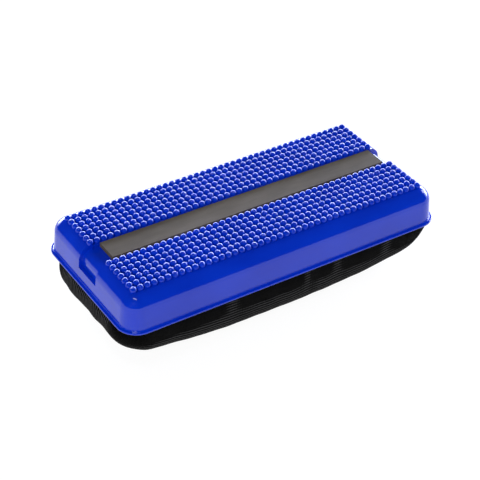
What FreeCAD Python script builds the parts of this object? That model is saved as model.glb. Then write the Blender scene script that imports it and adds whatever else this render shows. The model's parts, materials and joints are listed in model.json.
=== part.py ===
import FreeCAD, Part
import math
import os

import Sketcher

# Magnetic glass cleaner: a hand-sized scrubber half (a glossy blue moulding with two panels of
# beads and a magnet strip between them) stored back to back on a cloth-covered wiper half.
# Millimetres. X runs along the body, Y across it, Z up. The origin is on the ground under the
# middle of the wiper pad. The two halves part along Z at split_level.

DIMENSIONS = {
    # scrubber shell, outside
    "body_length": 120.0,
    "body_width": 56.0,
    "split_level": 15.7,
    "shell_height": 12.0,
    "draft_angle": 4.5,
    "shoulder_radius": 4.6,
    "flange_corner": 7.0,
    "flange_thickness": 0.8,
    "flange_lip": 0.9,
    "flange_round": 0.3,
    "root_radius": 0.5,
    # magnet strip channel and the thumb notches at its ends
    "channel_width": 9.8,
    "channel_depth": 1.3,
    "notch_width": 11.0,
    "notch_ledge": 5.1,
    # beads
    "bead_radius": 1.12,
    "bead_rise": 0.5,
    "bead_columns": 46,
    "bead_rows": 7,
    "bead_pitch_long": 2.4,
    "bead_pitch_cross": 2.5,
    "bead_inner_row": 6.17,
    # scrubber shell, inside
    "mouth_wall": 1.4,
    "mouth_depth": 2.5,
    "ledge_width": 1.4,
    "roof_thickness": 1.8,
    "cavity_draft": 3.0,
    "cavity_round": 2.0,
    "trough_width": 13.0,
    "trough_drop": 1.0,
    "boss_radius": 2.6,
    "boss_end_x": 50.0,
    "boss_side_y": 19.5,
    "pilot_radius": 0.8,
    "pilot_depth": 6.5,
    # magnet strip on its tape
    "strip_length": 104.4,
    "strip_width": 8.5,
    "strip_thickness": 1.5,
    "strip_shift": 0.8,
    "strip_offset": 0.5,
    "tape_thickness": 0.25,
    "tape_inset": 0.4,
    # base cover, gasket and screws
    "cover_thickness": 2.0,
    "cover_gap": 0.15,
    "gasket_width": 0.9,
    "screw_shank": 0.78,
    "screw_head": 1.9,
    "screw_length": 7.5,
    "drive_slot": 0.5,
    "hole_clearance": 0.2,
    # block magnets of the scrubber half, in their cradle
    "block_length": 28.0,
    "block_width": 24.0,
    "block_height": 6.0,
    "block_pitch": 31.0,
    "cradle_wall": 1.4,
    "cradle_floor": 1.0,
    "cradle_height": 6.0,
    "magnet_gap": 0.1,
    "magnet_chamfer": 0.5,
    # wiper pad, outside
    "pad_length": 118.0,
    "pad_width": 50.8,
    "pad_corner": 10.5,
    "pad_top": 15.5,
    "pad_edge_radius": 5.0,
    "dome_radius": 340.0,
    "dome_flat": 0.35,
    "cloth_thickness": 0.9,
    "hem_opening_length": 100.0,
    "hem_opening_width": 33.0,
    "hem_opening_corner": 5.0,
    "elastic_radius": 0.45,
    "elastic_corner": 4.0,
    # wiper pad, inside
    "board_thickness": 2.0,
    "board_gap": 2.4,
    "film_thickness": 0.2,
    "pad_magnet_length": 28.0,
    "pad_magnet_width": 20.0,
    "pad_magnet_height": 4.5,
    "well_wall": 1.2,
    "well_floor": 1.0,
    "foam_gap": 0.2,
    "keeper_length": 96.0,
    "keeper_width": 29.0,
    "keeper_corner": 3.0,
    "keeper_thickness": 0.9,
    "keeper_screw_x": 30.0,
    "keeper_screw_y": 13.0,
    "keeper_screw_length": 4.2,
    "keeper_screw_head": 1.4,
    "keeper_boss": 2.0,
    "keeper_boss_drop": 3.0,
    "film_end_margin": 6.0,
    "film_side_margin": 4.0,
    # how far a cutting shape reaches past what it cuts
    "overshoot": 1.0,
    "blank_margin": 20.0,
}

# Levels and sizes that several pieces share, as expressions on the sheet.
PANEL_LEVEL = "(dims.split_level + dims.shell_height)"
CHANNEL_FLOOR = f"({PANEL_LEVEL} - dims.channel_depth)"
ROOF_LEVEL = f"({PANEL_LEVEL} - dims.roof_thickness)"
LEDGE_LEVEL = "(dims.split_level + dims.mouth_depth)"
COVER_TOP = "(dims.split_level + dims.cover_thickness)"
WALL_LENGTH = "(dims.body_length - 2 * dims.flange_lip)"
WALL_WIDTH = "(dims.body_width - 2 * dims.flange_lip)"
WALL_CORNER = "(dims.flange_corner - dims.flange_lip)"
MOUTH_LENGTH = f"({WALL_LENGTH} - 2 * dims.mouth_wall)"
MOUTH_WIDTH = f"({WALL_WIDTH} - 2 * dims.mouth_wall)"
MOUTH_CORNER = f"({WALL_CORNER} - dims.mouth_wall)"
WALL_LEAN = "(dims.shell_height * tan(dims.draft_angle * 1 deg))"
SHOULDER_RUN = "(dims.shoulder_radius * tan((90 - dims.draft_angle) / 2 * 1 deg))"
SHOULDER_X = f"({WALL_LENGTH} / 2 - {WALL_LEAN} - {SHOULDER_RUN})"
HEM_LEVEL = "(dims.pad_top - dims.cloth_thickness)"
BOARD_UNDER = f"({HEM_LEVEL} - dims.board_thickness)"
FILM_UNDER = f"({BOARD_UNDER} - dims.film_thickness)"
WELL_LENGTH = "(dims.pad_magnet_length + 2 * dims.magnet_gap + 2 * dims.well_wall)"
WELL_WIDTH = "(dims.pad_magnet_width + 2 * dims.magnet_gap + 2 * dims.well_wall)"
WELL_UNDER = f"({HEM_LEVEL} - dims.pad_magnet_height - dims.well_floor)"

MAGNETS_PER_HALF = 3
QUARTER_TURN = math.pi / 2
# How near zero counts as zero, and how near a level or the rim an edge has to lie.
FUZZ = 1e-4
LEVEL_MARGIN = 1e-3
RIM_MARGIN = 0.3

doc = FreeCAD.newDocument("glass_cleaner")
dims = doc.addObject("Spreadsheet::Sheet", "dims")
for row, (alias, size) in enumerate(DIMENSIONS.items(), start=1):
    dims.set(f"A{row}", alias.replace("_", " "))
    dims.set(f"B{row}", str(size))
    dims.setAlias(f"B{row}", alias)
doc.recompute()


def number(expression):
    """The value of a sheet expression, for starting geometry and for finding edges."""
    found = dims.evalExpression(expression)
    return float(getattr(found, "Value", found))


def bind(feature, **expressions):
    """Binds each named property of a feature to its expression."""
    for name, expression in expressions.items():
        feature.setExpression(name, expression)


def place(feature, across_x="0", across_y="0", level="0"):
    """Binds a feature's position."""
    feature.setExpression("Placement.Base.x", across_x)
    feature.setExpression("Placement.Base.y", across_y)
    feature.setExpression("Placement.Base.z", level)


# ---------------------------------------------------------------- bodies and sketches


def new_body(label):
    body = doc.addObject("PartDesign::Body", label)
    body.Label = label
    return body


def datum(body, role):
    """The body's own origin plane or axis of that role."""
    return next(item for item in body.Origin.OriginFeatures if item.Role == role)


def new_sketch(body, name, level="0", plane="XY_Plane"):
    sketch = body.newObject("Sketcher::SketchObject", name)
    sketch.AttachmentSupport = (datum(body, plane), "")
    sketch.MapMode = "FlatFace"
    sketch.setExpression("AttachmentOffset.Base.z", level)
    return sketch


def dimension(sketch, kind, elements, name, expression):
    """Adds a named dimension driven by an expression."""
    constraint = Sketcher.Constraint(kind, *elements, number(expression))
    index = sketch.addConstraint(constraint)
    sketch.renameConstraint(index, name)
    sketch.setExpression(f"Constraints.{name}", expression)


def rounded_outline(sketch, length, width, corner, prefix="outline"):
    """Four sides and four tangent corner arcs, centred on the sketch's origin."""
    half_x = number(length) / 2
    half_y = number(width) / 2
    radius = number(corner)
    turn = FreeCAD.Vector(0, 0, 1)
    first = sketch.GeometryCount
    corners = [(1, 1), (-1, 1), (-1, -1), (1, -1)]
    sides = [
        ((half_x, radius - half_y), (half_x, half_y - radius)),
        ((half_x - radius, half_y), (radius - half_x, half_y)),
        ((-half_x, half_y - radius), (-half_x, radius - half_y)),
        ((radius - half_x, -half_y), (half_x - radius, -half_y)),
    ]
    for step, (start, end) in enumerate(sides):
        side_x, side_y = corners[step]
        centre = FreeCAD.Vector(side_x * (half_x - radius), side_y * (half_y - radius), 0)
        circle = Part.Circle(centre, turn, radius)
        sketch.addGeometry(Part.LineSegment(FreeCAD.Vector(*start, 0), FreeCAD.Vector(*end, 0)))
        turned = step * QUARTER_TURN
        sketch.addGeometry(Part.ArcOfCircle(circle, turned, turned + QUARTER_TURN))
    for step in range(8):
        following = first + (step + 1) % 8
        sketch.addConstraint(Sketcher.Constraint("Tangent", first + step, 2, following, 1))
    for step, direction in ((0, "Vertical"), (2, "Horizontal"), (4, "Vertical"), (6, "Horizontal")):
        sketch.addConstraint(Sketcher.Constraint(direction, first + step))
    for step in (3, 5, 7):
        sketch.addConstraint(Sketcher.Constraint("Equal", first + 1, first + step))
    sketch.addConstraint(Sketcher.Constraint("Symmetric", first + 1, 3, first + 5, 3, -1, 1))
    dimension(sketch, "DistanceX", (first + 4, 1, first, 2), f"{prefix}_length", length)
    dimension(sketch, "DistanceY", (first + 6, 1, first + 2, 1), f"{prefix}_width", width)
    dimension(sketch, "Radius", (first + 1,), f"{prefix}_corner", corner)


def circles(sketch, places, radius):
    """One circle per place. A place is a pair of expressions for its centre."""
    for index, (x, y) in enumerate(places):
        centre = FreeCAD.Vector(number(x), number(y), 0)
        circle = Part.Circle(centre, FreeCAD.Vector(0, 0, 1), number(radius))
        geometry = sketch.addGeometry(circle)
        dimension(sketch, "Radius", (geometry,), f"radius_{index}", radius)
        if abs(centre.x) < FUZZ:
            sketch.addConstraint(Sketcher.Constraint("PointOnObject", geometry, 3, -2))
        else:
            dimension(sketch, "DistanceX", (-1, 1, geometry, 3), f"centre_x_{index}", x)
        dimension(sketch, "DistanceY", (-1, 1, geometry, 3), f"centre_y_{index}", y)


def pad(body, name, sketch, length, taper=None):
    feature = body.newObject("PartDesign::Pad", name)
    feature.Profile = sketch
    bind(feature, Length=length)
    if taper:
        bind(feature, TaperAngle=taper)
    doc.recompute()
    return feature


def pocket(body, name, sketch, length, upwards=False, taper=None, both_sides=False):
    """Cuts down from the sketch, or up from it, or to both sides, and proves that it cut."""
    before = body.Shape.Volume
    feature = body.newObject("PartDesign::Pocket", name)
    feature.Profile = sketch
    feature.Reversed = upwards
    if both_sides:
        feature.SideType = "Symmetric"
    bind(feature, Length=length)
    if taper:
        bind(feature, TaperAngle=taper)
    doc.recompute()
    if body.Shape.Volume >= before:
        raise RuntimeError(f"{name} cut nothing from {body.Label}")
    return feature


def edges_at(shape, level, on_rim=None):
    """Names of the edges at one level: all, or only those on the body's rim, or only the rest."""
    rim_x = number("dims.body_length / 2") - RIM_MARGIN
    rim_y = number("dims.body_width / 2") - RIM_MARGIN
    names = []
    for index, edge in enumerate(shape.Edges, start=1):
        box = edge.BoundBox
        flat = max(abs(box.ZMin - level), abs(box.ZMax - level)) < LEVEL_MARGIN
        outside_x = max(abs(box.XMin), abs(box.XMax)) > rim_x
        outside_y = max(abs(box.YMin), abs(box.YMax)) > rim_y
        if flat and on_rim in (None, outside_x or outside_y):
            names.append(f"Edge{index}")
    return names


def fillet(body, name, base, names, radius):
    feature = body.newObject("PartDesign::Fillet", name)
    feature.Base = (base, names)
    bind(feature, Radius=radius)
    doc.recompute()
    return feature


def mirrored(places_x, places_y):
    """Every sign of each pair, as centre expressions."""
    signs = ("", "-")
    return [(f"{sx}{places_x}", f"{sy}{places_y}") for sx in signs for sy in signs]


# ---------------------------------------------------------------- scrubber shell


def boss_places():
    corner_places = mirrored("dims.boss_end_x", "dims.boss_side_y")
    return corner_places + [("0", "dims.boss_side_y"), ("0", "-dims.boss_side_y")]


def shell_outside(body):
    """Drafted wall with a rounded shoulder, standing on a thin rolled flange."""
    flange_outline = new_sketch(body, "flange_outline", "dims.split_level")
    rounded_outline(flange_outline, "dims.body_length", "dims.body_width", "dims.flange_corner")
    pad(body, "flange", flange_outline, "dims.flange_thickness")

    wall_outline = new_sketch(body, "wall_outline", "dims.split_level")
    rounded_outline(wall_outline, WALL_LENGTH, WALL_WIDTH, WALL_CORNER)
    wall = pad(body, "wall", wall_outline, "dims.shell_height", "-dims.draft_angle")

    panel = edges_at(wall.Shape, number(PANEL_LEVEL))
    shoulder = fillet(body, "shoulder", wall, panel, "dims.shoulder_radius")

    flange_under = number("dims.split_level")
    flange_top = number("dims.split_level + dims.flange_thickness")
    wall_foot = edges_at(shoulder.Shape, flange_top, on_rim=False)
    root = fillet(body, "wall_root", shoulder, wall_foot, "dims.root_radius")

    rim = edges_at(root.Shape, flange_under, on_rim=True)
    rim += edges_at(root.Shape, flange_top, on_rim=True)
    fillet(body, "flange_edge", root, rim, "dims.flange_round")


def shell_inside(body):
    """Mouth for the base cover, cavity above it, channel trough, and six screw bosses."""
    mouth_outline = new_sketch(body, "mouth_outline", "dims.split_level")
    rounded_outline(mouth_outline, MOUTH_LENGTH, MOUTH_WIDTH, MOUTH_CORNER)
    pocket(body, "mouth", mouth_outline, "dims.mouth_depth", upwards=True)

    cavity_outline = new_sketch(body, "cavity_outline", LEDGE_LEVEL)
    rounded_outline(cavity_outline, f"{MOUTH_LENGTH} - 2 * dims.ledge_width",
                    f"{MOUTH_WIDTH} - 2 * dims.ledge_width", MOUTH_CORNER)
    cavity = pocket(body, "cavity", cavity_outline, f"{ROOF_LEVEL} - {LEDGE_LEVEL}",
                    upwards=True, taper="-dims.cavity_draft")
    roof = edges_at(cavity.Shape, number(ROOF_LEVEL))
    fillet(body, "cavity_corner", cavity, roof, "dims.cavity_round")

    trough_outline = new_sketch(body, "trough_outline", f"{ROOF_LEVEL} - dims.trough_drop")
    rounded_outline(trough_outline, f"{MOUTH_LENGTH} - 2 * dims.ledge_width", "dims.trough_width",
                    "dims.magnet_chamfer")
    pad(body, "channel_trough", trough_outline, "dims.trough_drop")

    boss_outline = new_sketch(body, "boss_outline", COVER_TOP)
    circles(boss_outline, boss_places(), "dims.boss_radius")
    pad(body, "bosses", boss_outline, f"{ROOF_LEVEL} - {COVER_TOP}")
    pilot_outline = new_sketch(body, "pilot_outline", COVER_TOP)
    circles(pilot_outline, boss_places(), "dims.pilot_radius")
    pocket(body, "pilots", pilot_outline, "dims.pilot_depth", upwards=True)


def notch_profile(sketch):
    """Side view of what the notch takes away at +X: it keeps one depth below the shoulder."""
    arc_x = number(SHOULDER_X)
    arc_z = number(f"{PANEL_LEVEL} - dims.shoulder_radius")
    inner_radius = number("dims.shoulder_radius - dims.channel_depth")
    top_z = number(f"{PANEL_LEVEL} + dims.overshoot")
    out_x = number("dims.body_length / 2 + dims.overshoot")
    ledge_z = number("dims.split_level + dims.notch_ledge")
    lean = math.radians(number("dims.draft_angle"))
    tangent_x = arc_x + inner_radius * math.cos(lean)
    tangent_z = arc_z + inner_radius * math.sin(lean)
    foot_x = tangent_x + (tangent_z - ledge_z) * math.tan(lean)
    circle = Part.Circle(FreeCAD.Vector(arc_x, arc_z, 0), FreeCAD.Vector(0, 0, 1), inner_radius)
    points = [FreeCAD.Vector(x, z, 0) for x, z in (
        (tangent_x, tangent_z), (foot_x, ledge_z), (out_x, ledge_z),
        (out_x, top_z), (arc_x, top_z), (arc_x, arc_z + inner_radius))]
    for start, end in zip(points, points[1:]):
        sketch.addGeometry(Part.LineSegment(start, end))
    arc = sketch.addGeometry(Part.ArcOfCircle(circle, lean, QUARTER_TURN))
    for line in range(4):
        sketch.addConstraint(Sketcher.Constraint("Coincident", line, 2, line + 1, 1))
    sketch.addConstraint(Sketcher.Constraint("Coincident", 4, 2, arc, 2))
    sketch.addConstraint(Sketcher.Constraint("Tangent", arc, 1, 0, 1))
    for line, direction in ((1, "Horizontal"), (2, "Vertical"), (3, "Horizontal"), (4, "Vertical")):
        sketch.addConstraint(Sketcher.Constraint(direction, line))
    dimension(sketch, "Radius", (arc,), "bend", "dims.shoulder_radius - dims.channel_depth")
    dimension(sketch, "DistanceX", (-1, 1, arc, 3), "bend_x", SHOULDER_X)
    dimension(sketch, "DistanceY", (-1, 1, arc, 3), "bend_z",
              f"{PANEL_LEVEL} - dims.shoulder_radius")
    dimension(sketch, "DistanceX", (-1, 1, 3, 2), "shoulder_x", SHOULDER_X)
    dimension(sketch, "DistanceX", (-1, 1, 2, 1), "outside_x",
              "dims.body_length / 2 + dims.overshoot")
    dimension(sketch, "DistanceY", (-1, 1, 3, 1), "above_z", f"{PANEL_LEVEL} + dims.overshoot")
    dimension(sketch, "DistanceY", (-1, 1, 1, 1), "ledge_z", "dims.split_level + dims.notch_ledge")
    dimension(sketch, "Angle", (1, 1, 0, 2), "lean", "90 deg + dims.draft_angle * 1 deg")


def shell_channel(body):
    """Channel along the middle of the panel, running over both ends as thumb notches."""
    channel_outline = new_sketch(body, "channel_outline", PANEL_LEVEL)
    rounded_outline(channel_outline, f"2 * {SHOULDER_X}", "dims.channel_width",
                    "dims.flange_round")
    pocket(body, "channel", channel_outline, "dims.channel_depth")

    side_view = new_sketch(body, "notch_side_view", plane="XZ_Plane")
    notch_profile(side_view)
    notch = pocket(body, "notch", side_view, "dims.notch_width", both_sides=True)
    both_ends = body.newObject("PartDesign::Mirrored", "notch_at_both_ends")
    both_ends.Originals = [notch]
    both_ends.MirrorPlane = (datum(body, "YZ_Plane"), [""])
    body.Tip = both_ends
    doc.recompute()


def shell_beads(body):
    """Two panels of beads in square rows, one each side of the channel."""
    bead = body.newObject("PartDesign::AdditiveSphere", "bead")
    bind(bead, Radius="dims.bead_radius")
    place(bead, "-(dims.bead_columns - 1) / 2 * dims.bead_pitch_long",
          "-dims.bead_inner_row - (dims.bead_rows - 1) * dims.bead_pitch_cross",
          f"{PANEL_LEVEL} + dims.bead_rise")

    def row_of(name, axis, count, spacing):
        pattern = doc.addObject("PartDesign::LinearPattern", name)
        pattern.Direction = (datum(body, axis), [""])
        pattern.Mode = "Spacing"
        bind(pattern, Occurrences=count, Offset=spacing)
        return pattern

    along = row_of("beads_along", "X_Axis", "dims.bead_columns", "dims.bead_pitch_long")
    across = row_of("beads_across", "Y_Axis", "dims.bead_rows", "dims.bead_pitch_cross")
    other_panel = doc.addObject("PartDesign::Mirrored", "beads_other_panel")
    other_panel.MirrorPlane = (datum(body, "XZ_Plane"), [""])
    field = body.newObject("PartDesign::MultiTransform", "bead_field")
    field.Originals = [bead]
    field.Transformations = [along, across, other_panel]
    body.Tip = field


def make_scrubber_shell():
    body = new_body("scrubber_shell")
    shell_outside(body)
    shell_inside(body)
    shell_channel(body)
    shell_beads(body)
    return body


# ---------------------------------------------------------------- scrubber half, other pieces


def plain_box(label, length, width, height, level, across_x="0", across_y="0"):
    """A block centred over across_x and across_y, standing on a level."""
    box = doc.addObject("Part::Box", label)
    box.Label = label
    bind(box, Length=length, Width=width, Height=height)
    place(box, f"{across_x} - ({length}) / 2", f"{across_y} - ({width}) / 2", level)
    return box


def make_strip():
    """Flexible magnet strip, a little proud of the panel, on tape in the channel."""
    tape = plain_box("strip_tape", "dims.strip_length - 2 * dims.tape_inset",
                     "dims.strip_width - 2 * dims.tape_inset", "dims.tape_thickness",
                     CHANNEL_FLOOR, "dims.strip_shift", "dims.strip_offset")
    strip = plain_box("face_magnet_strip", "dims.strip_length", "dims.strip_width",
                      "dims.strip_thickness", f"{CHANNEL_FLOOR} + dims.tape_thickness",
                      "dims.strip_shift", "dims.strip_offset")
    return [tape, strip]


def magnet(label, length, width, height, level, across_x):
    """A pressed block magnet with chamfered edges."""
    block = plain_box(f"{label}_block", length, width, height, level, across_x)
    doc.recompute()
    chamfered = doc.addObject("Part::Chamfer", label)
    chamfered.Label = label
    chamfered.Base = block
    edge = number("dims.magnet_chamfer")
    chamfered.Edges = [(index + 1, edge, edge) for index in range(len(block.Shape.Edges))]
    return chamfered


def magnet_centres():
    middle = (MAGNETS_PER_HALF - 1) / 2
    return [f"{index - middle} * dims.block_pitch" for index in range(MAGNETS_PER_HALF)]


def make_block_magnets():
    level = f"{COVER_TOP} + dims.cradle_floor"
    return [magnet(f"block_magnet_{index}", "dims.block_length", "dims.block_width",
                   "dims.block_height", level, centre)
            for index, centre in enumerate(magnet_centres(), start=1)]


def magnet_windows(sketch, length, width):
    """Sharp-cornered windows, one for each magnet."""
    for index, centre in enumerate(magnet_centres()):
        half_x = number(length) / 2
        half_y = number(width) / 2
        middle = number(centre)
        corners = [FreeCAD.Vector(middle + sx * half_x, sy * half_y, 0)
                   for sx, sy in ((-1, -1), (1, -1), (1, 1), (-1, 1))]
        first = sketch.GeometryCount
        for step in range(4):
            sketch.addGeometry(Part.LineSegment(corners[step], corners[(step + 1) % 4]))
        for step in range(4):
            following = first + (step + 1) % 4
            sketch.addConstraint(Sketcher.Constraint("Coincident", first + step, 2, following, 1))
            direction = "Horizontal" if step % 2 == 0 else "Vertical"
            sketch.addConstraint(Sketcher.Constraint(direction, first + step))
        dimension(sketch, "DistanceX", (first, 1, first, 2), f"window_length_{index}", length)
        dimension(sketch, "DistanceY", (first + 1, 1, first + 1, 2), f"window_width_{index}", width)
        dimension(sketch, "DistanceX", (-1, 1, first, 1), f"window_x_{index}",
                  f"{centre} - ({length}) / 2")
        dimension(sketch, "DistanceY", (-1, 1, first, 1), f"window_y_{index}", f"-({width}) / 2")


def make_magnet_cradle():
    """Tray with a well for each block magnet, bonded to the base cover."""
    body = new_body("magnet_cradle")
    window_length = "(dims.block_length + 2 * dims.magnet_gap)"
    window_width = "(dims.block_width + 2 * dims.magnet_gap)"
    tray_length = (f"{MAGNETS_PER_HALF - 1} * dims.block_pitch + {window_length}"
                   " + 2 * dims.cradle_wall")
    outline = new_sketch(body, "tray_outline", COVER_TOP)
    rounded_outline(outline, tray_length, f"{window_width} + 2 * dims.cradle_wall",
                    "dims.cradle_wall")
    pad(body, "tray", outline, "dims.cradle_height")
    wells = new_sketch(body, "tray_wells", f"{COVER_TOP} + dims.cradle_floor")
    magnet_windows(wells, window_length, window_width)
    pocket(body, "wells", wells, "dims.cradle_height", upwards=True)
    return body


def countersunk_holes(body, places, shank, head, top, bottom, from_below):
    """Clearance holes with a straight-sided seat for the screw heads."""
    clear = new_sketch(body, "screw_holes", bottom)
    circles(clear, places, f"{shank} + dims.hole_clearance")
    pocket(body, "clearance", clear, f"{top} - {bottom}", upwards=True)
    seat_level = bottom if from_below else top
    seats = new_sketch(body, "head_seats", seat_level)
    circles(seats, places, f"{head} + dims.hole_clearance")
    pocket(body, "seats", seats, f"{head} - {shank} + dims.hole_clearance / 2",
           upwards=from_below)


def make_base_cover():
    body = new_body("base_cover")
    outline = new_sketch(body, "cover_outline", "dims.split_level")
    rounded_outline(outline, f"{MOUTH_LENGTH} - 2 * dims.cover_gap",
                    f"{MOUTH_WIDTH} - 2 * dims.cover_gap", f"{MOUTH_CORNER} - dims.cover_gap")
    pad(body, "plate", outline, "dims.cover_thickness")
    countersunk_holes(body, boss_places(), "dims.screw_shank", "dims.screw_head",
                      COVER_TOP, "dims.split_level", from_below=True)
    return body


def make_cover_gasket():
    """Rubber ring squeezed between the cover's rim and the ledge in the shell."""
    body = new_body("cover_gasket")
    outline = new_sketch(body, "gasket_outline", COVER_TOP)
    length = f"({MOUTH_LENGTH} - 4 * dims.cover_gap)"
    width = f"({MOUTH_WIDTH} - 4 * dims.cover_gap)"
    corner = f"({MOUTH_CORNER} - 2 * dims.cover_gap)"
    rounded_outline(outline, length, width, corner)
    rounded_outline(outline, f"{length} - 2 * dims.gasket_width",
                    f"{width} - 2 * dims.gasket_width", f"{corner} - dims.gasket_width", "inner")
    pad(body, "ring", outline, f"{LEDGE_LEVEL} - {COVER_TOP}")
    return body


def screw_profile(name, head, shank, length):
    """A countersunk screw with a cross slot, point up, its head's face at its own origin."""
    head_height = f"({head} - {shank})"
    cone = doc.addObject("Part::Cone", f"{name}_head")
    bind(cone, Radius1=head, Radius2=shank, Height=head_height)
    rod = doc.addObject("Part::Cylinder", f"{name}_shank")
    bind(rod, Radius=shank, Height=length)
    solid = doc.addObject("Part::MultiFuse", f"{name}_solid")
    solid.Shapes = [cone, rod]
    slots = []
    for turn, (along, thick) in enumerate(((head, "dims.drive_slot"), ("dims.drive_slot", head))):
        slot = doc.addObject("Part::Box", f"{name}_slot_{turn}")
        bind(slot, Length=along, Width=thick, Height="dims.drive_slot")
        place(slot, f"-({along}) / 2", f"-({thick}) / 2", "0")
        slots.append(slot)
    cross = doc.addObject("Part::MultiFuse", f"{name}_cross")
    cross.Shapes = slots
    screw = doc.addObject("Part::Cut", f"{name}_screw")
    screw.Base = solid
    screw.Tool = cross
    doc.recompute()
    return screw


def make_screws(label, head, shank, length, places, level, point_up):
    """One node of identical screws, each a separate solid."""
    pattern = screw_profile(label, head, shank, length)
    screws = []
    for index, (x, y) in enumerate(places):
        screw = doc.addObject("Part::Feature", f"{label}_{index + 1}")
        screw.Shape = pattern.Shape
        turn = FreeCAD.Rotation(FreeCAD.Vector(1, 0, 0), 0 if point_up else 180)
        screw.Placement = FreeCAD.Placement(FreeCAD.Vector(0, 0, 0), turn)
        place(screw, x, y, level)
        screws.append(screw)
    group = doc.addObject("Part::Compound", label)
    group.Label = label
    group.Links = screws
    return group


# ---------------------------------------------------------------- wiper half


def pad_profile(sketch, inset, top):
    """Side view of the pad: flat top, upright ends, and an underside domed along X with a
    flat patch in the middle, where the foam is squashed by the cleaner's weight."""
    half = number(f"dims.pad_length / 2 - {inset}")
    radius = number(f"dims.dome_radius - {inset}")
    centre_z = number("dims.dome_radius - dims.dome_flat")
    low = number(inset)
    high = number(top)
    patch = (radius ** 2 - (centre_z - low) ** 2) ** 0.5
    end_z = centre_z - (radius ** 2 - half ** 2) ** 0.5
    circle = Part.Circle(FreeCAD.Vector(0, centre_z, 0), FreeCAD.Vector(0, 0, 1), radius)
    corners = [FreeCAD.Vector(x, z, 0) for x, z in (
        (patch, low), (-patch, low), (-half, end_z), (-half, high), (half, high), (half, end_z))]
    sketch.addGeometry(Part.LineSegment(corners[0], corners[1]))
    for start, end in ((2, 3), (3, 4), (4, 5)):
        sketch.addGeometry(Part.LineSegment(corners[start], corners[end]))
    left = Part.ArcOfCircle(circle, circle.parameter(corners[2]), circle.parameter(corners[1]))
    right = Part.ArcOfCircle(circle, circle.parameter(corners[0]), circle.parameter(corners[5]))
    sketch.addGeometry(left)
    sketch.addGeometry(right)
    for first, first_end, second, second_end in (
            (0, 2, 4, 2), (4, 1, 1, 1), (1, 2, 2, 1), (2, 2, 3, 1), (3, 2, 5, 2), (5, 1, 0, 1)):
        joint = Sketcher.Constraint("Coincident", first, first_end, second, second_end)
        sketch.addConstraint(joint)
    sketch.addConstraint(Sketcher.Constraint("Coincident", 4, 3, 5, 3))
    sketch.addConstraint(Sketcher.Constraint("PointOnObject", 4, 3, -2))
    for line, direction in ((0, "Horizontal"), (1, "Vertical"), (2, "Horizontal"), (3, "Vertical")):
        sketch.addConstraint(Sketcher.Constraint(direction, line))
    dimension(sketch, "Radius", (4,), "dome", f"dims.dome_radius - {inset}")
    dimension(sketch, "DistanceY", (-1, 1, 4, 3), "dome_z", "dims.dome_radius - dims.dome_flat")
    if low > FUZZ:
        dimension(sketch, "DistanceY", (-1, 1, 0, 1), "underside", inset)
    else:
        sketch.addConstraint(Sketcher.Constraint("PointOnObject", 0, 1, -1))
    dimension(sketch, "DistanceY", (-1, 1, 2, 1), "top", top)
    dimension(sketch, "DistanceX", (1, 1, 3, 1), "length", f"dims.pad_length - 2 * {inset}")
    dimension(sketch, "DistanceX", (-1, 1, 3, 1), "half", f"dims.pad_length / 2 - {inset}")


def pad_form(body, inset, top):
    """The pad's whole form, or the same form set in all round by an inset."""
    side_view = new_sketch(body, "side_view", plane="XZ_Plane")
    pad_profile(side_view, inset, top)
    block = body.newObject("PartDesign::Pad", "block")
    block.Profile = side_view
    block.SideType = "Symmetric"
    bind(block, Length="dims.pad_width + 2 * dims.overshoot")
    doc.recompute()

    plan = new_sketch(body, "plan", top)
    rounded_outline(plan, "dims.pad_length + 2 * dims.blank_margin",
                    "dims.pad_width + 2 * dims.blank_margin", "dims.pad_corner", "blank")
    rounded_outline(plan, f"dims.pad_length - 2 * {inset}", f"dims.pad_width - 2 * {inset}",
                    f"dims.pad_corner - {inset}")
    trimmed = pocket(body, "plan_trim", plan, "dims.pad_top + dims.overshoot")
    return fillet(body, "soft_edge", trimmed, underside_edges(trimmed.Shape),
                  f"dims.pad_edge_radius - {inset}")


def underside_edges(shape):
    """The edges round the pad's underside, without the two that end its flat patch."""
    halfway_up = number("dims.pad_top / 2")
    corner_x = number("dims.pad_length / 2 - dims.pad_corner")
    names = []
    for index, edge in enumerate(shape.Edges, start=1):
        box = edge.BoundBox
        ends_patch = box.YMin < 0 < box.YMax and abs(edge.Vertexes[0].X) < corner_x
        if box.ZMax < halfway_up and not ends_patch:
            names.append(f"Edge{index}")
    return names


def make_cloth_cover():
    """Cloth drawn over the pad and turned in over the back, open in the middle of the back."""
    outside = new_body("cloth_outside")
    pad_form(outside, "0", "dims.pad_top")
    inside = new_body("cloth_inside")
    pad_form(inside, "dims.cloth_thickness", HEM_LEVEL)
    opening = new_body("cloth_opening")
    outline = new_sketch(opening, "hem_outline", f"{HEM_LEVEL} - dims.overshoot")
    rounded_outline(outline, "dims.hem_opening_length", "dims.hem_opening_width",
                    "dims.hem_opening_corner")
    pad(opening, "hem", outline, "dims.cloth_thickness + 2 * dims.overshoot")
    room = doc.addObject("Part::MultiFuse", "cloth_room")
    room.Shapes = [inside, opening]
    cover = doc.addObject("Part::Cut", "cloth_cover")
    cover.Label = "cloth_cover"
    cover.Base = outside
    cover.Tool = room
    return cover


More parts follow.
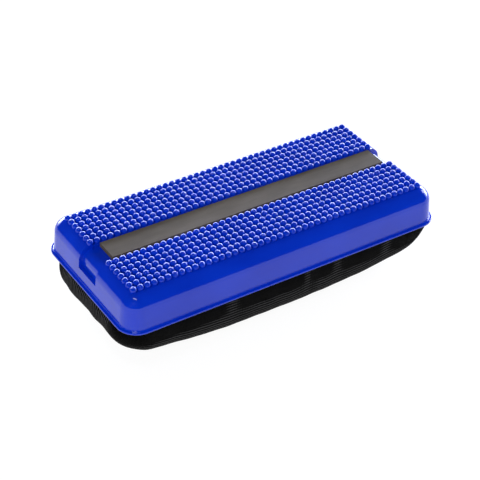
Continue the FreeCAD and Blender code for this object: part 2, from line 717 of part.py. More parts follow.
def make_hem_elastic():
    """Elastic run round the cover's opening, which pulls the cloth tight over the board."""
    body = new_body("hem_elastic")
    path = new_sketch(body, "elastic_path", f"{HEM_LEVEL} + dims.elastic_radius")
    length = "(dims.keeper_length + dims.hem_opening_length) / 2"
    width = "(dims.keeper_width + dims.hem_opening_width) / 2"
    rounded_outline(path, length, width, "dims.elastic_corner")
    section = body.newObject("Sketcher::SketchObject", "elastic_section")
    section.AttachmentSupport = (datum(body, "XZ_Plane"), "")
    section.MapMode = "FlatFace"
    centre_x = number(length) / 2
    centre_z = number(f"{HEM_LEVEL} + dims.elastic_radius")
    circle = Part.Circle(FreeCAD.Vector(centre_x, centre_z, 0), FreeCAD.Vector(0, 0, 1),
                         number("dims.elastic_radius"))
    section.addGeometry(circle)
    dimension(section, "Radius", (0,), "section", "dims.elastic_radius")
    dimension(section, "DistanceX", (-1, 1, 0, 3), "section_x", f"({length}) / 2")
    dimension(section, "DistanceY", (-1, 1, 0, 3), "section_z",
              f"{HEM_LEVEL} + dims.elastic_radius")
    ring = body.newObject("PartDesign::AdditivePipe", "ring")
    ring.Profile = section
    ring.Spine = (path, [f"Edge{index}" for index in range(1, 9)])
    doc.recompute()
    return body


def keeper_places():
    return mirrored("dims.keeper_screw_x", "dims.keeper_screw_y")


def make_foam_core():
    """Foam that fills the cover below the board, with room for the wells and the bosses."""
    body = new_body("foam_core")
    pad_form(body, "dims.cloth_thickness", HEM_LEVEL)
    above = new_sketch(body, "board_room", HEM_LEVEL)
    rounded_outline(above, "dims.pad_length", "dims.pad_width", "dims.pad_corner")
    pocket(body, "flat_top", above, f"{HEM_LEVEL} - {FILM_UNDER}")
    room = new_sketch(body, "well_windows", f"{WELL_UNDER} - dims.foam_gap")
    rounded_outline(room, f"{MAGNETS_PER_HALF - 1} * dims.block_pitch + {WELL_LENGTH}"
                    " + 2 * dims.foam_gap", f"{WELL_WIDTH} + 2 * dims.foam_gap",
                    "dims.magnet_chamfer")
    pocket(body, "well_room", room, "dims.pad_top", upwards=True)
    bosses = new_sketch(body, "boss_room", f"{BOARD_UNDER} - dims.keeper_boss_drop - dims.foam_gap")
    circles(bosses, keeper_places(), "dims.keeper_boss + dims.foam_gap")
    pocket(body, "boss_holes", bosses, "dims.pad_top", upwards=True)
    return body


def make_foam_film():
    """Double-sided film that bonds the foam to the board."""
    body = new_body("foam_adhesive_film")
    outline = new_sketch(body, "film_outline", FILM_UNDER)
    rounded_outline(outline, "dims.pad_length - 2 * dims.film_end_margin",
                    "dims.pad_width - 2 * dims.film_side_margin", "dims.pad_corner / 2")
    rounded_outline(outline, f"{MAGNETS_PER_HALF - 1} * dims.block_pitch + {WELL_LENGTH}"
                    " + 2 * dims.foam_gap", "2 * (dims.keeper_screw_y + dims.keeper_boss"
                    " + dims.foam_gap)", "dims.magnet_chamfer", "window")
    pad(body, "film", outline, "dims.film_thickness")
    return body


def make_pad_board():
    """Stiff board that shapes the pad's back, with wells for the magnets and screw bosses."""
    body = new_body("pad_board")
    inset = "(dims.cloth_thickness + dims.board_gap)"
    outline = new_sketch(body, "board_outline", BOARD_UNDER)
    rounded_outline(outline, f"dims.pad_length - 2 * {inset}", f"dims.pad_width - 2 * {inset}",
                    f"dims.pad_corner - {inset}")
    pad(body, "board", outline, "dims.board_thickness")
    wells = new_sketch(body, "well_outline", WELL_UNDER)
    rounded_outline(wells, f"{MAGNETS_PER_HALF - 1} * dims.block_pitch + {WELL_LENGTH}",
                    WELL_WIDTH, "dims.magnet_chamfer")
    pad(body, "well_blocks", wells, f"{BOARD_UNDER} - {WELL_UNDER}")
    bosses = new_sketch(body, "boss_outline", f"{BOARD_UNDER} - dims.keeper_boss_drop")
    circles(bosses, keeper_places(), "dims.keeper_boss")
    pad(body, "bosses", bosses, "dims.keeper_boss_drop")
    windows = new_sketch(body, "well_windows", f"{WELL_UNDER} + dims.well_floor")
    magnet_windows(windows, "dims.pad_magnet_length + 2 * dims.magnet_gap",
                   "dims.pad_magnet_width + 2 * dims.magnet_gap")
    pocket(body, "wells", windows, "dims.pad_top", upwards=True)
    pilots = new_sketch(body, "pilot_outline", HEM_LEVEL)
    circles(pilots, keeper_places(), "dims.pilot_radius")
    pocket(body, "pilots", pilots, "dims.keeper_screw_length")
    return body


def make_pad_magnets():
    level = f"{WELL_UNDER} + dims.well_floor"
    return [magnet(f"pad_magnet_{index}", "dims.pad_magnet_length", "dims.pad_magnet_width",
                   "dims.pad_magnet_height", level, centre)
            for index, centre in enumerate(magnet_centres(), start=1)]


def make_keeper_plate():
    """Steel plate that closes the wells and completes the magnets' circuit."""
    body = new_body("keeper_plate")
    outline = new_sketch(body, "keeper_outline", HEM_LEVEL)
    rounded_outline(outline, "dims.keeper_length", "dims.keeper_width", "dims.keeper_corner")
    pad(body, "plate", outline, "dims.keeper_thickness")
    countersunk_holes(body, keeper_places(), "dims.screw_shank", "dims.keeper_screw_head",
                      f"{HEM_LEVEL} + dims.keeper_thickness", HEM_LEVEL, from_below=False)
    return body


# ---------------------------------------------------------------- assembly and export

scrubber_half = [
    make_scrubber_shell(),
    *make_strip(),
    *make_block_magnets(),
    make_magnet_cradle(),
    make_base_cover(),
    make_cover_gasket(),
    make_screws("cover_screws", "dims.screw_head", "dims.screw_shank", "dims.screw_length",
                boss_places(), "dims.split_level", point_up=True),
]
wiper_half = [
    make_cloth_cover(),
    make_hem_elastic(),
    make_foam_core(),
    make_foam_film(),
    make_pad_board(),
    *make_pad_magnets(),
    make_keeper_plate(),
    make_screws("keeper_screws", "dims.keeper_screw_head", "dims.screw_shank",
                "dims.keeper_screw_length", keeper_places(),
                f"{HEM_LEVEL} + dims.keeper_thickness", point_up=False),
]
pieces = scrubber_half + wiper_half

doc.recompute()
for item in doc.Objects:
    if {"Invalid", "Error"} & set(item.State):
        raise RuntimeError(f"{item.Label} failed: {item.State}")
for piece in pieces:
    if piece.Shape.isNull() or not piece.Shape.isValid() or not piece.Shape.Solids:
        raise RuntimeError(f"{piece.Label} has no valid solid")

os.makedirs("parts", exist_ok=True)
for piece in pieces:
    piece.Shape.exportStep(os.path.join("parts", f"{piece.Label}.step"))
    print(f"{piece.Label}: {len(piece.Shape.Solids)} solid, {piece.Shape.Volume:.0f} mm3")
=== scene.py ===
import json
import math

import bmesh
import bpy
import numpy as np
from mathutils import Matrix, Vector


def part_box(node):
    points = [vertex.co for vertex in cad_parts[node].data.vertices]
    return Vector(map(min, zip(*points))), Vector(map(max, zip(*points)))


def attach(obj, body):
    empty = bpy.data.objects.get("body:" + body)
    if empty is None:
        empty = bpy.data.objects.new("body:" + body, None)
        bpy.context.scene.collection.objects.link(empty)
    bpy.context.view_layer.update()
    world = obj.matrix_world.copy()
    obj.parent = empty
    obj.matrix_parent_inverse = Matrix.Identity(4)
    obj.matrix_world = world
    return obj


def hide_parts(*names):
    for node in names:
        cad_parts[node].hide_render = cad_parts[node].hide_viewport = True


# Magnetic glass cleaner: a glossy blue beaded scrubber half, stored on a black cloth wiper half.
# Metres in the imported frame, but the cloth and the textures are worked out in millimetres.

MM = 0.001

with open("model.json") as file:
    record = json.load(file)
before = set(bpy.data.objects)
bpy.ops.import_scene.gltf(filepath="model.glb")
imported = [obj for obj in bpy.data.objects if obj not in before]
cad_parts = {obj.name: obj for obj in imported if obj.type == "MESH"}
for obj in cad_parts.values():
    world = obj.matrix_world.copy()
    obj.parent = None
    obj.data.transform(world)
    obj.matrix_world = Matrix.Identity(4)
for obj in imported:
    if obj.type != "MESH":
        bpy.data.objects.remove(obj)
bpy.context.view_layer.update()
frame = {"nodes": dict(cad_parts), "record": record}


def add_node(tree, kind, settings=None, **inputs):
    """Adds a shader node. An input is a socket to link, or a value, and _0 is the first input."""
    made = tree.nodes.new(kind)
    for name, value in (settings or {}).items():
        setattr(made, name, value)
    for name, value in inputs.items():
        socket = made.inputs[int(name[1:]) if name[1:].isdigit() else name.replace("_", " ")]
        if isinstance(value, bpy.types.NodeSocket):
            tree.links.new(value, socket)
        else:
            socket.default_value = value
    return made


# ---------------------------------------------------------------- camera, floor and light

CAMERA_PLACE = Vector((-0.20594, -0.30221, 0.28507))
CAMERA_AZIMUTH, CAMERA_ELEVATION, CAMERA_ROLL = (math.radians(a) for a in (-34.008, 36.693, 1.941))
CAMERA_LENS = 102.94

# The backdrop stands on one side of the object, up to a height given as the sine of its elevation.
# It starts and is full at these cosines of the angle from that side.
BACKDROP_SIDE = (0.66, 0.75, 0)
BACKDROP_TOP, BACKDROP_FADE = 0.36, 0.06
BACKDROP_EDGE, BACKDROP_FULL = 0.35, 0.7
BACKDROP_LIGHT, ROOM_LIGHT = 18.0, 0.05


def back_direction(azimuth, elevation):
    """Unit vector from the object towards a viewer. Azimuth 0 looks along +Y."""
    return Vector((math.sin(azimuth) * math.cos(elevation),
                   -math.cos(azimuth) * math.cos(elevation), math.sin(elevation)))


def add_camera():
    camera = bpy.data.objects.new("camera", bpy.data.cameras.new("camera"))
    bpy.context.scene.collection.objects.link(camera)
    back = back_direction(CAMERA_AZIMUTH, CAMERA_ELEVATION)
    level = back.to_track_quat("Z", "Y").to_matrix()
    turned = level @ Matrix.Rotation(CAMERA_ROLL, 3, "Z")
    camera.matrix_world = Matrix.LocRotScale(CAMERA_PLACE, turned, None)
    camera.data.lens = CAMERA_LENS
    camera.data.clip_start = 0.01
    bpy.context.scene.camera = camera


def add_softbox(name, azimuth, elevation, distance, size, watts):
    """A rectangular lamp that faces the object from a direction."""
    lamp = bpy.data.lights.new(name, "AREA")
    lamp.shape = "RECTANGLE"
    lamp.size, lamp.size_y = size
    lamp.energy = watts
    box = bpy.data.objects.new(name, lamp)
    bpy.context.scene.collection.objects.link(box)
    towards = back_direction(math.radians(azimuth), math.radians(elevation))
    box.matrix_world = Matrix.LocRotScale(towards * distance, towards.to_track_quat("Z", "Y"), None)
    return box


def add_floor(half=3.0, gap=0.05 * MM):
    """A white floor that glows a little, so that shadows on it stay faint."""
    mesh = bpy.data.meshes.new("floor")
    mesh.from_pydata([(-half, -half, 0), (half, -half, 0), (half, half, 0), (-half, half, 0)],
                     [], [(0, 1, 2, 3)])
    floor = bpy.data.objects.new("floor", mesh)
    floor.location.z = -gap
    bpy.context.scene.collection.objects.link(floor)
    paint = bpy.data.materials.new("floor")
    paint.use_nodes = True
    shader = paint.node_tree.nodes["Principled BSDF"]
    shader.inputs["Base Color"].default_value = (0.12, 0.12, 0.12, 1)
    shader.inputs["Roughness"].default_value = 0.9
    shader.inputs["Specular IOR Level"].default_value = 0.1
    shader.inputs["Emission Color"].default_value = (1, 1, 1, 1)
    shader.inputs["Emission Strength"].default_value = 0.92
    mesh.materials.append(paint)


def add_world():
    """A dim room with a bright low backdrop behind the object. The camera sees plain white."""
    world = bpy.data.worlds.new("studio")
    bpy.context.scene.world = world
    world.use_nodes = True
    tree = world.node_tree

    def fade(value, start, end):
        return add_node(tree, "ShaderNodeMapRange", {"interpolation_type": "SMOOTHSTEP"},
                        _0=value, _1=start, _2=end).outputs[0]

    direction = add_node(tree, "ShaderNodeTexCoord").outputs["Generated"]
    upward = add_node(tree, "ShaderNodeSeparateXYZ", _0=direction).outputs["Z"]
    behind = add_node(tree, "ShaderNodeVectorMath", {"operation": "DOT_PRODUCT"},
                      _0=direction, _1=BACKDROP_SIDE).outputs["Value"]
    low = fade(upward, BACKDROP_TOP + BACKDROP_FADE, BACKDROP_TOP - BACKDROP_FADE)
    lit = add_node(tree, "ShaderNodeMath", {"operation": "MULTIPLY"},
                   _0=low, _1=fade(behind, BACKDROP_EDGE, BACKDROP_FULL)).outputs[0]
    strength = add_node(tree, "ShaderNodeMapRange", _0=lit, _3=ROOM_LIGHT, _4=BACKDROP_LIGHT)
    room = add_node(tree, "ShaderNodeBackground", Color=(0.70, 0.78, 1, 1),
                    Strength=strength.outputs[0])
    seen = add_node(tree, "ShaderNodeBackground", Color=(0.97, 0.97, 0.97, 1))
    path = add_node(tree, "ShaderNodeLightPath")
    mix = add_node(tree, "ShaderNodeMixShader", _0=path.outputs["Is Camera Ray"],
                   _1=room.outputs[0], _2=seen.outputs[0])
    tree.links.new(mix.outputs[0], tree.nodes["World Output"].inputs["Surface"])


add_camera()
add_floor()
add_world()
add_softbox("top_spot", azimuth=-56, elevation=72, distance=1.0, size=(0.30, 0.12), watts=1.3)
add_softbox("side_softbox", azimuth=95, elevation=30, distance=1.0, size=(0.30, 0.20), watts=1.6)
fill = add_softbox("front_fill", azimuth=-48, elevation=32, distance=1.2, size=(0.9, 0.5), watts=10)
fill.visible_glossy = False
bpy.context.scene.view_settings.view_transform = "Standard"


# ---------------------------------------------------------------- materials


class Paint:
    """A Principled material. Its textures read the piece's own coordinates, in millimetres."""

    def __init__(self, name, **constants):
        self.material = bpy.data.materials.new(name)
        self.material.use_nodes = True
        self.links = self.material.node_tree.links
        self.shader = self.material.node_tree.nodes["Principled BSDF"]
        for socket, value in constants.items():
            self.shader.inputs[socket.replace("_", " ")].default_value = value
        place = self.node("ShaderNodeTexCoord")
        self.millimetres = self.node("ShaderNodeMapping", Vector=place.outputs["Object"],
                                     Scale=(1 / MM, 1 / MM, 1 / MM)).outputs[0]

    def node(self, kind, settings=None, **inputs):
        return add_node(self.material.node_tree, kind, settings, **inputs)

    def attribute(self, name):
        return self.node("ShaderNodeAttribute", {"attribute_name": name}).outputs["Fac"]

    def noise(self, per_mm, detail=3.0, stretch=(1, 1, 1)):
        """Noise with that many features per millimetre, drawn out where stretch is under 1."""
        shaped = self.node("ShaderNodeMapping", Vector=self.millimetres, Scale=stretch).outputs[0]
        return self.node("ShaderNodeTexNoise", Vector=shaped, Scale=per_mm,
                         Detail=detail).outputs["Fac"]

    def ramp(self, factor, *stops):
        """Colours or grey levels along a factor, as (position, value) pairs."""
        made = self.node("ShaderNodeValToRGB", _0=factor)
        band = made.color_ramp
        while len(band.elements) < len(stops):
            band.elements.new(0.5)
        for element, (position, value) in zip(band.elements, stops):
            element.position = position
            grey = isinstance(value, (int, float))
            element.color = (value, value, value, 1) if grey else (*value, 1)
        return made.outputs["Color"]

    def math(self, operation, first, second=0.0):
        return self.node("ShaderNodeMath", {"operation": operation}, _0=first, _1=second).outputs[0]

    def drive(self, socket, value):
        self.links.new(value, self.shader.inputs[socket])

    def bumps(self, *layers):
        """Bump layers, each a height and how far in millimetres it stands out."""
        normal = None
        for height, depth in layers:
            made = self.node("ShaderNodeBump", Height=height, Distance=depth * MM)
            if normal:
                self.links.new(normal, made.inputs["Normal"])
            normal = made.outputs[0]
        self.drive("Normal", normal)


# Distances between the cloth's ribs and between its cross threads, in millimetres.
RIB_PITCH = 0.95
THREAD_PITCH = 0.45


def shell_blue():
    """Glossy saturated blue plastic with faint flow marks and rubbed patches."""
    paint = Paint("shell_blue", IOR=1.5)
    cloudy = paint.noise(0.05, 2, (1, 2, 2))
    paint.drive("Base Color", paint.ramp(cloudy, (0.3, (0.0003, 0.024, 0.46)),
                                         (0.7, (0.0008, 0.032, 0.54))))
    rubbed = paint.noise(0.25, 6, (0.4, 1, 1))
    paint.drive("Roughness", paint.ramp(rubbed, (0.35, 0.07), (0.75, 0.15)))
    paint.bumps((paint.noise(0.12, 2), 0.04), (paint.noise(2.0, 2), 0.0008))
    return paint.material


def magnet_strip():
    """Flexible magnet: grey-brown, matte, with mill streaks and darker mottling."""
    paint = Paint("magnet_strip", IOR=1.5, Specular_IOR_Level=0.08)
    mottled = paint.noise(0.12, 5, (0.5, 1.5, 1))
    grain = paint.noise(6.0, 3)
    tone = paint.math("ADD", paint.math("MULTIPLY", mottled, 0.8), paint.math("MULTIPLY", grain, 0.2))
    paint.drive("Base Color", paint.ramp(tone, (0.3, (0.070, 0.057, 0.042)),
                                         (0.5, (0.094, 0.078, 0.058)),
                                         (0.7, (0.122, 0.103, 0.080))))
    streaks = paint.noise(1.6, 3, (0.05, 1, 1))
    paint.drive("Roughness", paint.ramp(streaks, (0.3, 0.55), (0.7, 0.72)))
    paint.bumps((streaks, 0.012), (grain, 0.012))
    return paint.material


def speckled(name, dark, light, roughness, depth=0.01, per_mm=2.0, stretch=(1, 1, 1), **constants):
    """A material with two tones and a fine surface grain."""
    paint = Paint(name, **constants)
    paint.drive("Base Color", paint.ramp(paint.noise(per_mm, 5, stretch), (0.35, dark), (0.65, light)))
    paint.drive("Roughness", paint.ramp(paint.noise(per_mm / 3, 4, stretch),
                                        (0.35, roughness - 0.08), (0.65, roughness + 0.08)))
    paint.bumps((paint.noise(per_mm * 2, 4, stretch), depth))
    return paint.material


def cloth_black():
    """Black ribbed cloth, fine weave; painted highlight on rib tops, painted shade in grooves and
    hollows.
    """
    paint = Paint("cloth_black", IOR=1.35, Specular_IOR_Level=0.1)
    # The rib attribute is painted light: high on rib tops, low in the grooves and in the shaded
    # hollows under the rim.
    height = paint.attribute("rib_light_and_shade")
    fuzz = paint.noise(2.5, 4)
    tone = paint.math("ADD", paint.math("MULTIPLY", height, 0.7), paint.math("MULTIPLY", fuzz, 0.3))
    paint.drive("Base Color", paint.ramp(tone, (0.62, (0.0003, 0.0003, 0.0004)),
                                         (0.88, (0.050, 0.050, 0.051))))
    paint.drive("Roughness", paint.ramp(fuzz, (0.3, 0.55), (0.7, 0.8)))
    along = paint.attribute("rib_run")
    threads = paint.math("SINE", paint.math("MULTIPLY", along, 2 * math.pi / THREAD_PITCH))
    paint.bumps((threads, 0.02), (fuzz, 0.02))
    return paint.material


MATERIALS = {
    "shell_blue": shell_blue(),
    "magnet_strip": magnet_strip(),
    "strip_tape": speckled("strip_tape", (0.003, 0.003, 0.003), (0.008, 0.008, 0.009), 0.5),
    "ferrite": speckled("ferrite", (0.018, 0.018, 0.020), (0.045, 0.044, 0.046), 0.5, 0.03, 3.0),
    "tray_plastic": speckled("tray_plastic", (0.55, 0.56, 0.55), (0.66, 0.66, 0.64), 0.42, 0.01, 0.5),
    "gasket_rubber": speckled("gasket_rubber", (0.008, 0.008, 0.008), (0.02, 0.02, 0.02), 0.7),
    "screw_steel": speckled("screw_steel", (0.52, 0.52, 0.53), (0.70, 0.70, 0.71), 0.28, 0.006, 2.0,
                            Metallic=1.0),
    "keeper_steel": speckled("keeper_steel", (0.42, 0.44, 0.47), (0.62, 0.62, 0.60), 0.34, 0.006,
                             1.0, (0.15, 1, 1), Metallic=1.0),
    "cloth_black": cloth_black(),
    "elastic_black": speckled("elastic_black", (0.004, 0.004, 0.004), (0.02, 0.02, 0.02), 0.8, 0.06,
                              2.5, (1, 1, 1), Sheen_Weight=0.3),
    "foam_grey": speckled("foam_grey", (0.09, 0.09, 0.095), (0.22, 0.22, 0.225), 0.9, 0.15, 2.2),
    "board_plastic": speckled("board_plastic", (0.012, 0.012, 0.013), (0.028, 0.028, 0.03), 0.45),
}

for subpart in frame["record"]["subparts"]:
    node = frame["nodes"][subpart["node"]]
    for held in node.material_slots:
        held.material = MATERIALS[subpart["material_slot"]]


# ---------------------------------------------------------------- cloth cover

# Sizes of the wiper pad in millimetres. Its outline is a rounded rectangle, and its underside is
# domed along X except for a squashed patch in the middle.
PAD_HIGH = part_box("cloth_cover")[1]
PAD_HALF_X = PAD_HIGH.x / MM
PAD_HALF_Y = PAD_HIGH.y / MM
PAD_TOP = PAD_HIGH.z / MM
PAD_CORNER = 10.5
DOME_RADIUS, DOME_FLAT = 340.0, 0.35

# The soft lower edge: how far in and up it runs, at most a share of the pad's height there. The
# flat underside starts a little further in.
SOFT_RUN = 5.0
SOFT_RISE, SOFT_RISE_SHARE = 5.5, 0.5
UNDERSIDE_INSET = 6.5

# Thickness of the cloth, the opening in its hem, and the depth of its ribs.
CLOTH = 0.9
HEM_HALF_X, HEM_HALF_Y, HEM_CORNER = 50.0, 16.5, 5.0
RIB_HEIGHT = 0.28

# Beside the foam the cloth is thinned from inside, so that it stays clear of the foam.
FOAM_SIDE, FOAM_CLEARANCE, MOST_THINNED = 7.0, 0.08, 0.5
BOARD_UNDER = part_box("pad_board")[0].z / MM

# Where the hem elastic gathers the cloth into tucks, in millimetres round the outline from the
# start of the +X end, and how wide each tuck is.
TUCKS = ((9, 3.5), (24, 3), (38, 4), (62, 4), (84, 3), (104, 5), (128, 3), (151, 4), (166, 3.5),
         (180, 3), (234, 5), (262.5, 3), (274.5, 4), (294.5, 4.5), (310, 3))

# How far the cloth draws in under the rim, on a tuck and in a hollow besides, and how late.
TUCK_REACH, HOLLOW_REACH, HOLLOW_POWER = 0.6, 3.2, 1.6

# How far the cloth swells beyond the pad's outline at the ends, and besides at the +X corners.
END_SPREAD, CORNER_SPREAD = 1.3, 1.8

# The hollows are smooth from this height up, over this fade. There the ribs lose most of their
# height and some of their depth, and the lowered rib value paints the hollows black as painted shade.
BARE_FROM, BARE_FADE = 7.2, 2.6
BARE_RIB_AND_SHADE, BARE_DEPTH = 0.85, 0.6

# How far a tuck draws the ribs up, and how far they wander.
RIB_LIFT, RIB_SWAY = 1.3, 0.3

# How far the sides slump on average and as they wander, and the share of that which shows.
SAG, SLUMP_SHARE = 0.35, 0.6

# The hem is gathered in small folds of this pitch and depth.
GATHER_PITCH, GATHER_DEPTH = 2.3, 0.5

# The hem's edge turns under in two steps, each a drop from the pad's top and how far it draws back.
HEM_EDGE = ((0.62, -0.05), (CLOTH - 0.02, 0.25))

# The inner skin starts this share of the way up the side, under the hem.
INNER_TOP = 0.93


def stations(long_count, end_count):
    """Where points sit round an outline: a segment number and a share of it, and the number of
    points per segment. Segments 0 and 4 are the ends, 2 and 6 the long sides, the odd ones the
    corners."""
    straight = 2 * (PAD_HALF_Y - PAD_CORNER)
    arc = PAD_CORNER * math.pi / 2
    arc_count = round(end_count * arc / (straight + 2 * arc))
    counts = [end_count - 2 * arc_count, arc_count, long_count, arc_count] * 2
    segment = np.repeat(np.arange(8), counts)
    share = np.concatenate([np.arange(count) / count for count in counts])
    return segment, share, counts


def outline(places, half_x, half_y, corner):
    """Points on a rounded rectangle, with the outward normal at each."""
    segment, share = places[:2]
    quarter = segment // 2
    turned = quarter * (math.pi / 2)
    angle = turned + np.where(segment % 2 == 1, share * (math.pi / 2), 0)
    normal = np.stack([np.cos(angle), np.sin(angle)], 1)
    signs = np.array([(1, 1), (-1, 1), (-1, -1), (1, -1)])
    inner = np.array([half_x - corner, half_y - corner])
    here = signs[quarter] * inner
    before = signs[quarter - 1] * inner
    along = np.where(segment[:, None] % 2 == 1, here, before + share[:, None] * (here - before))
    return along + corner * normal, normal


def distance_round(places):
    """How far round the pad's outline each station is, and the whole way round."""
    points, _ = outline(places, PAD_HALF_X, PAD_HALF_Y, PAD_CORNER)
    steps = np.linalg.norm(np.roll(points, -1, 0) - points, axis=1)
    return np.concatenate([[0], np.cumsum(steps)[:-1]]), steps.sum()


def hollowness(places):
    """0 on a tuck and near 1 between tucks, where the cloth sinks under the shell."""
    place, whole = distance_round(places)
    hollow = np.ones(len(place))
    for centre, width in TUCKS:
        away = np.abs((place - centre + whole / 2) % whole - whole / 2)
        hollow *= 1 - np.exp(-(away / width) ** 2)
    return hollow


def underside_level(x):
    """Height of the domed underside."""
    return np.maximum(DOME_RADIUS - np.sqrt(DOME_RADIUS ** 2 - x ** 2) - DOME_FLAT, 0)


def waves(*phases):
    """A smooth irregular wave between about -1 and 1, from a few sines."""
    return sum(np.sin(phase) / (index + 1) for index, phase in enumerate(phases)) / 1.4


def side_profile(places, ring_count):
    """Insets from the outline, heights, and lengths from the underside's border, per station and
    ring. The side rises from the underside, slumps a little, and turns in under the shell's rim."""
    base, normal = outline(places, PAD_HALF_X, PAD_HALF_Y, PAD_CORNER)
    place = distance_round(places)[0]
    hollow = hollowness(places)[:, None]
    level = underside_level(base[:, 0])[:, None]
    rise = np.minimum(SOFT_RISE, SOFT_RISE_SHARE * (PAD_TOP - level))
    reach = TUCK_REACH + HOLLOW_REACH * hollow
    quarter = np.linspace(0, math.pi / 2, 60)[None, :]
    flat = np.linspace(UNDERSIDE_INSET, SOFT_RUN, 8)[None, :-1]
    inset = np.concatenate([np.repeat(flat, len(base), 0),
                            np.repeat(SOFT_RUN * (1 - np.sin(quarter)), len(base), 0),
                            reach * (1 - np.cos(quarter[:, 1:])) ** HOLLOW_POWER], 1)
    swell = np.concatenate([np.zeros((len(base), flat.shape[1])), rise * (1 - np.cos(quarter))], 1)
    lower = underside_level(base[:, :1] - inset[:, :swell.shape[1]] * normal[:, :1]) + swell
    upper = lower[:, -1:] + (PAD_TOP - lower[:, -1:]) * np.sin(quarter[:, 1:])
    height = np.concatenate([lower, upper], 1)
    length = np.concatenate([np.zeros((len(base), 1)), np.cumsum(
        np.hypot(np.diff(inset, axis=1), np.diff(height, axis=1)), 1)], 1)
    wanted = np.linspace(0, 1, ring_count + 1)
    rings = [np.array([np.interp(wanted * row[-1], row, values[index])
                       for index, row in enumerate(length)]) for values in (inset, height, length)]
    sag = SAG + SAG * waves(place * 0.21 + 1, place * 0.47 + 2, place * 0.83)[:, None]
    slump = SLUMP_SHARE * np.maximum(np.sin(math.pi * wanted)[None, :] * sag, 0)

    # The ends spread over most of the way up, and the +X corners only over the upper half.
    end = np.abs(normal[:, :1])
    corner = 2 * np.maximum(normal[:, :1], 0) * np.abs(normal[:, 1:])
    spread = END_SPREAD * end * smoothstep(1.6 * wanted - 0.15)[None, :]
    spread = spread + CORNER_SPREAD * corner * smoothstep(2 * wanted - 0.9)[None, :]
    rings[0] = rings[0] + slump - spread
    return rings


def grid_normals(points):
    """Outward normals of a closed band of points, indexed by station and ring."""
    round_it = np.roll(points, -1, 0) - np.roll(points, 1, 0)
    up_it = np.gradient(points, axis=1)
    normals = np.cross(round_it, up_it)
    return normals / np.maximum(np.linalg.norm(normals, axis=2, keepdims=True), 1e-9)


def smoothstep(value):
    """0 up to a value of 0, 1 from a value of 1, and a smooth rise between."""
    value = np.clip(value, 0, 1)
    return value * value * (3 - 2 * value)


def ridge(across):
    """Height of the ribs, from 0 in a groove to 1 on a rib, along the coordinate across them."""
    return np.abs(np.sin(math.pi * across / RIB_PITCH)) ** 0.7


class Surface:
    """Vertices, faces and point values gathered ring by ring."""

    def __init__(self):
        self.points, self.faces, self.height, self.run = [], [], [], []
        self.count = 0

    def add(self, points, height, run):
        """Adds points and gives their indices."""
        points = np.asarray(points).reshape(-1, 3)
        self.points.append(points)
        self.height.append(np.broadcast_to(np.ravel(height), len(points)))
        self.run.append(np.broadcast_to(np.ravel(run), len(points)))
        first = self.count
        self.count += len(points)
        return np.arange(first, self.count)

    def band(self, lower, upper):
        """Quads between two closed rings of the same number of points."""
        following = np.roll(lower, -1), np.roll(upper, -1)
        self.faces += np.stack([lower, following[0], following[1], upper], 1).tolist()

    def patch(self, grid):
        """Quads over a rectangle of indices."""
        self.faces += np.stack([grid[:-1, :-1], grid[:-1, 1:], grid[1:, 1:], grid[1:, :-1]],
                               2).reshape(-1, 4).tolist()

    def mesh(self, name):
        made = bpy.data.meshes.new(name)
        made.from_pydata((np.concatenate(self.points) * MM).tolist(), [], self.faces)
        # The first attribute sets the cloth's tone: painted highlight on the ribs, painted shade in
        # the grooves and hollows.
        for key, values in (("rib_light_and_shade", self.height), ("rib_run", self.run)):
            layer = made.attributes.new(key, "FLOAT", "POINT")
            layer.data.foreach_set("value", np.concatenate(values).astype(np.float32))
        shape = bmesh.new()
        shape.from_mesh(made)
        bmesh.ops.recalc_face_normals(shape, faces=shape.faces)
        shape.to_mesh(made)
        shape.free()
        made.shade_smooth()
        return made


def border_columns(counts):
    """Stations of the underside's two ends, each from -Y to +Y."""
    start = np.concatenate([[0], np.cumsum(counts)])
    left = np.arange(start[3], start[6] + 1)[::-1]
    right = np.concatenate([np.arange(start[7], start[8]), np.arange(0, start[2] + 1)])
    front = np.arange(start[6], start[7] + 1)
    back = np.arange(start[2], start[3] + 1)[::-1]
    return left, right, front, back


def underside_patch(surface, border, border_ring, counts):
    """Fills the underside between the border's two ends with ribbed rows along X."""
    left, right, front, back = border_columns(counts)
    rows, columns = len(left), len(front)
    grid = np.zeros((rows, columns), int)
    grid[:, 0], grid[:, -1] = border_ring[left], border_ring[right]
    grid[0], grid[-1] = border_ring[front], border_ring[back]
    share = np.linspace(0, 1, columns)[None, 1:-1, None]
    inside = border[left][1:-1, None] * (1 - share) + border[right][1:-1, None] * share
    rib = ridge(inside[..., 1])
    inside[..., 2] = underside_level(inside[..., 0]) + RIB_HEIGHT * (1 - rib)
    made = surface.add(inside, rib, inside[..., 0])
    grid[1:-1, 1:-1] = made.reshape(rows - 2, columns - 2)
    surface.patch(grid)


def inner_floor(surface, ring, counts):
    """Closes the inner skin below: quads between the long sides and one face at each end."""
    left, right, front, back = border_columns(counts)
    surface.patch(np.stack([ring[front], ring[back]]))
    surface.faces.append(ring[left].tolist())
    surface.faces.append(ring[right][::-1].tolist())


def side_points(places, insets, heights):
    """Points of the side, indexed by station and ring, from their insets and heights."""
    base, normal = outline(places, PAD_HALF_X, PAD_HALF_Y, PAD_CORNER)
    flat = base[:, None] - insets[..., None] * normal[:, None]
    return np.concatenate([flat, heights[..., None]], 2)


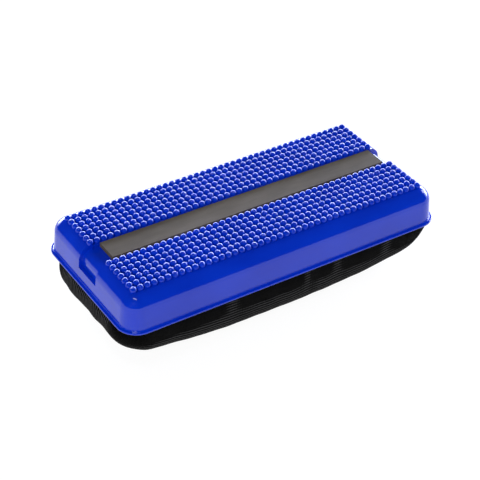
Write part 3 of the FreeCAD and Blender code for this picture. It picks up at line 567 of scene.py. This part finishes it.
def add_hem(surface, places, top, last, hem_count):
    """The gathered hem over the pad's back, from the skin's top ring to the elastic's opening."""
    place = distance_round(places)[0]
    opening, _ = outline(places, HEM_HALF_X, HEM_HALF_Y, HEM_CORNER)
    gather = 0.5 + 0.5 * np.sin(place * 2 * math.pi / GATHER_PITCH + 1.4 * np.sin(place * 0.37))
    for step in range(1, hem_count + 1):
        share = step / hem_count
        flat = top[:, :2] * (1 - share) + opening * share
        level = (top[:, 2] * (1 - share) + PAD_TOP * share
                 - GATHER_DEPTH * gather * share ** 0.7)
        made = surface.add(np.column_stack([flat, level]), 0.25 + 0.5 * gather * share, place)
        surface.band(last, made)
        last = made
    for drop, back in HEM_EDGE:
        rim, _ = outline(places, HEM_HALF_X + back, HEM_HALF_Y + back, HEM_CORNER + back)
        made = surface.add(np.column_stack([rim, np.full(len(rim), PAD_TOP - drop)]), 0.2, place)
        surface.band(last, made)
        last = made
    return last


def inner_skin(places, skin, insets, heights):
    """The inside of the cloth, thinned beside the foam and kept under the hem."""
    inner = skin - grid_normals(skin) * CLOTH
    beside_foam = (heights > FOAM_SIDE) & (heights < BOARD_UNDER)
    thinned = np.where(beside_foam, np.clip(insets - FOAM_CLEARANCE, 0, MOST_THINNED), 0)
    normal = outline(places, PAD_HALF_X, PAD_HALF_Y, PAD_CORNER)[1]
    inner[..., :2] += thinned[..., None] * normal[:, None]
    inner[..., 2] = np.minimum(inner[..., 2], PAD_TOP - CLOTH)
    return inner


def ribbed_skin(places, skin, heights, lengths):
    """The outside of the cloth, with each point's rib height, which also paints highlight and shade
    into its colour, and its place along the rib.
    """
    base, normal = outline(places, PAD_HALF_X, PAD_HALF_Y, PAD_CORNER)
    place = distance_round(places)[0]
    hollow = hollowness(places)[:, None]
    up_share = lengths / lengths[:, -1:]
    lift = RIB_LIFT * (1 - hollow) * up_share ** 2
    sway = RIB_SWAY * waves(place * 0.11, place * 0.31 + 4)[:, None] * up_share
    border_y = base[:, 1:] - UNDERSIDE_INSET * normal[:, 1:]
    across = border_y + (lengths - lift + sway) * normal[:, 1:]
    # Where the cloth sinks under the rim, the lowered rib value smooths the ribs and paints the hollow
    # black: painted shade.
    bare_and_shaded = hollow * smoothstep((heights - BARE_FROM) / BARE_FADE) * np.abs(normal[:, 1:])
    rib = ridge(across) * (1 - BARE_RIB_AND_SHADE * bare_and_shaded)
    run = place[:, None] * np.abs(normal[:, 1:]) + lengths * np.abs(normal[:, :1])
    depth = RIB_HEIGHT * (1 - rib) * (1 - BARE_DEPTH * bare_and_shaded)
    return skin - grid_normals(skin) * depth[..., None], rib, run


def cover_mesh(long_count, end_count, ring_count, hem_count, inner_count):
    """The cover: ribbed outer skin, gathered hem over the pad's back, and smooth inner skin."""
    places = stations(long_count, end_count)
    counts = places[2]
    insets, heights, lengths = side_profile(places, ring_count)
    skin = side_points(places, insets, heights)
    ribbed, rib, run = ribbed_skin(places, skin, heights, lengths)

    surface = Surface()
    rings = [surface.add(ribbed[:, ring], rib[:, ring], run[:, ring])
             for ring in range(ring_count + 1)]
    for lower, upper in zip(rings, rings[1:]):
        surface.band(lower, upper)
    underside_patch(surface, ribbed[:, 0], rings[0], counts)
    last = add_hem(surface, places, ribbed[:, -1], rings[-1], hem_count)

    inner = inner_skin(places, skin, insets, heights)
    place = distance_round(places)[0]
    for ring in np.linspace(ring_count * INNER_TOP, 0, inner_count).round().astype(int):
        made = surface.add(inner[:, ring], 0.3, place)
        surface.band(last, made)
        last = made
    inner_floor(surface, last, counts)
    return surface.mesh("cloth_pad")


cover = bpy.data.objects.new("cloth_pad", cover_mesh(
    long_count=100, end_count=300, ring_count=96, hem_count=10, inner_count=9))
bpy.context.scene.collection.objects.link(cover)
cover.data.materials.append(MATERIALS["cloth_black"])
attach(cover, "wiper_half")
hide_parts("cloth_cover")
